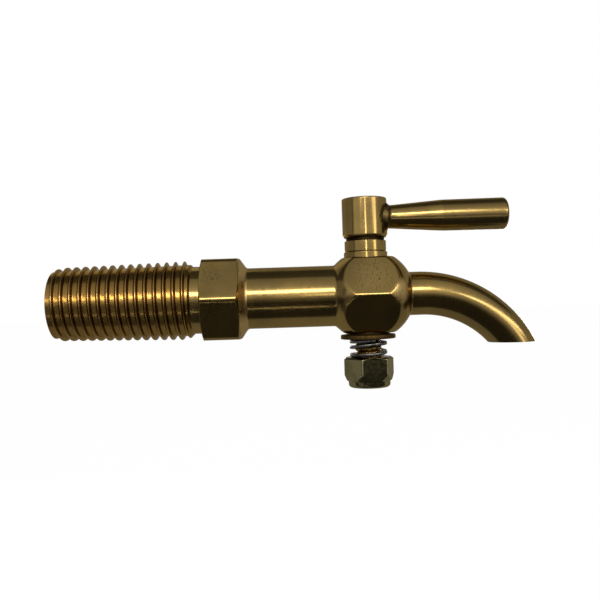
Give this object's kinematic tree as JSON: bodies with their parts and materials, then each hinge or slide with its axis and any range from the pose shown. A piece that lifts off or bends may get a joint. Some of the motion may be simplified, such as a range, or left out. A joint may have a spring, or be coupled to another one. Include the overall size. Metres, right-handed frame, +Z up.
{
  "type": "water butt tap",
  "caption": "Brass lever tap for a water butt: threaded taper tail, hexagon collar, ball-shaped plug housing and a curved spout, opened by turning a side lever on its plug.",
  "frame": {"origin": "centre of the collar's butt-side face, on the tail's axis", "axes": "+X along the flow from the tail towards the spout, +Z up along the plug towards the lever"},
  "size_m": [0.1433, 0.0276, 0.0565],
  "materials": {
    "cast_brass": "turned and lightly polished cast brass with pits and handling scratches",
    "polished_brass": "polished brass with brazing stain at the joints",
    "washer_brass": "dull brown brass",
    "spring_steel": "bare spring steel wire",
    "passivated_steel": "yellow-green zinc passivated steel",
    "nylon": "natural nylon"
  },
  "bodies": {
    "body": {"tap_body": "cast_brass", "spout": "polished_brass"},
    "plug": {"plug": "polished_brass", "lever": "polished_brass", "tension_washer": "washer_brass", "spring": "spring_steel", "lock_nut": "passivated_steel", "nut_insert": "nylon"}
  },
  "joints": [
    {"name": "lever_turn", "type": "hinge", "parent": "body", "child": "plug", "pos_m": [0.049, 0, 0], "axis": [0, 0, 1], "continuous": true}
  ]
}
